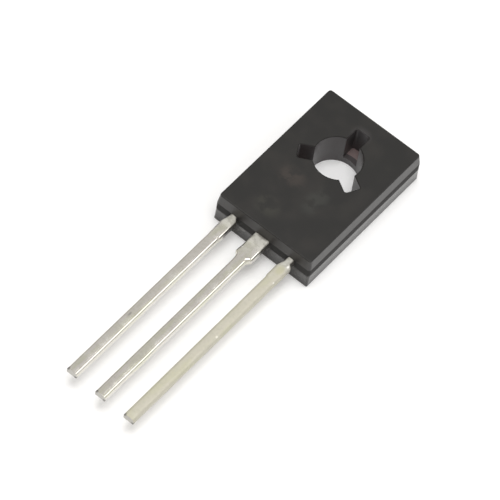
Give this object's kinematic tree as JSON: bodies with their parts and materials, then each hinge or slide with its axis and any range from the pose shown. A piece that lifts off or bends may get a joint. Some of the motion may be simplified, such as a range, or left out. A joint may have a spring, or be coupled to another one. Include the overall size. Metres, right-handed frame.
{
  "type": "thyristor",
  "caption": "Thyristor in a flat black moulded case with a screw hole, a metal plate flush with its back and straight tinned leads side by side.",
  "frame": {"origin": "where the axis of the screw hole meets the back face", "axes": "+X from the cathode lead to the gate lead, +Y away from the leads, +Z out of the front face"},
  "size_m": [0.0074, 0.0264, 0.0026],
  "materials": {
    "moulding": "matt black epoxy moulding",
    "tinned_metal": "dull tin plating",
    "silicon": "polished silicon",
    "solder": "satin solder",
    "bond_wire": "bright drawn wire"
  },
  "bodies": {
    "root": {"case": "moulding", "anode_plate": "tinned_metal", "cathode_lead": "tinned_metal", "gate_lead": "tinned_metal", "chip": "silicon", "chip_solder": "solder", "cathode_wire": "bond_wire", "gate_wire": "bond_wire"}
  },
  "joints": []
}
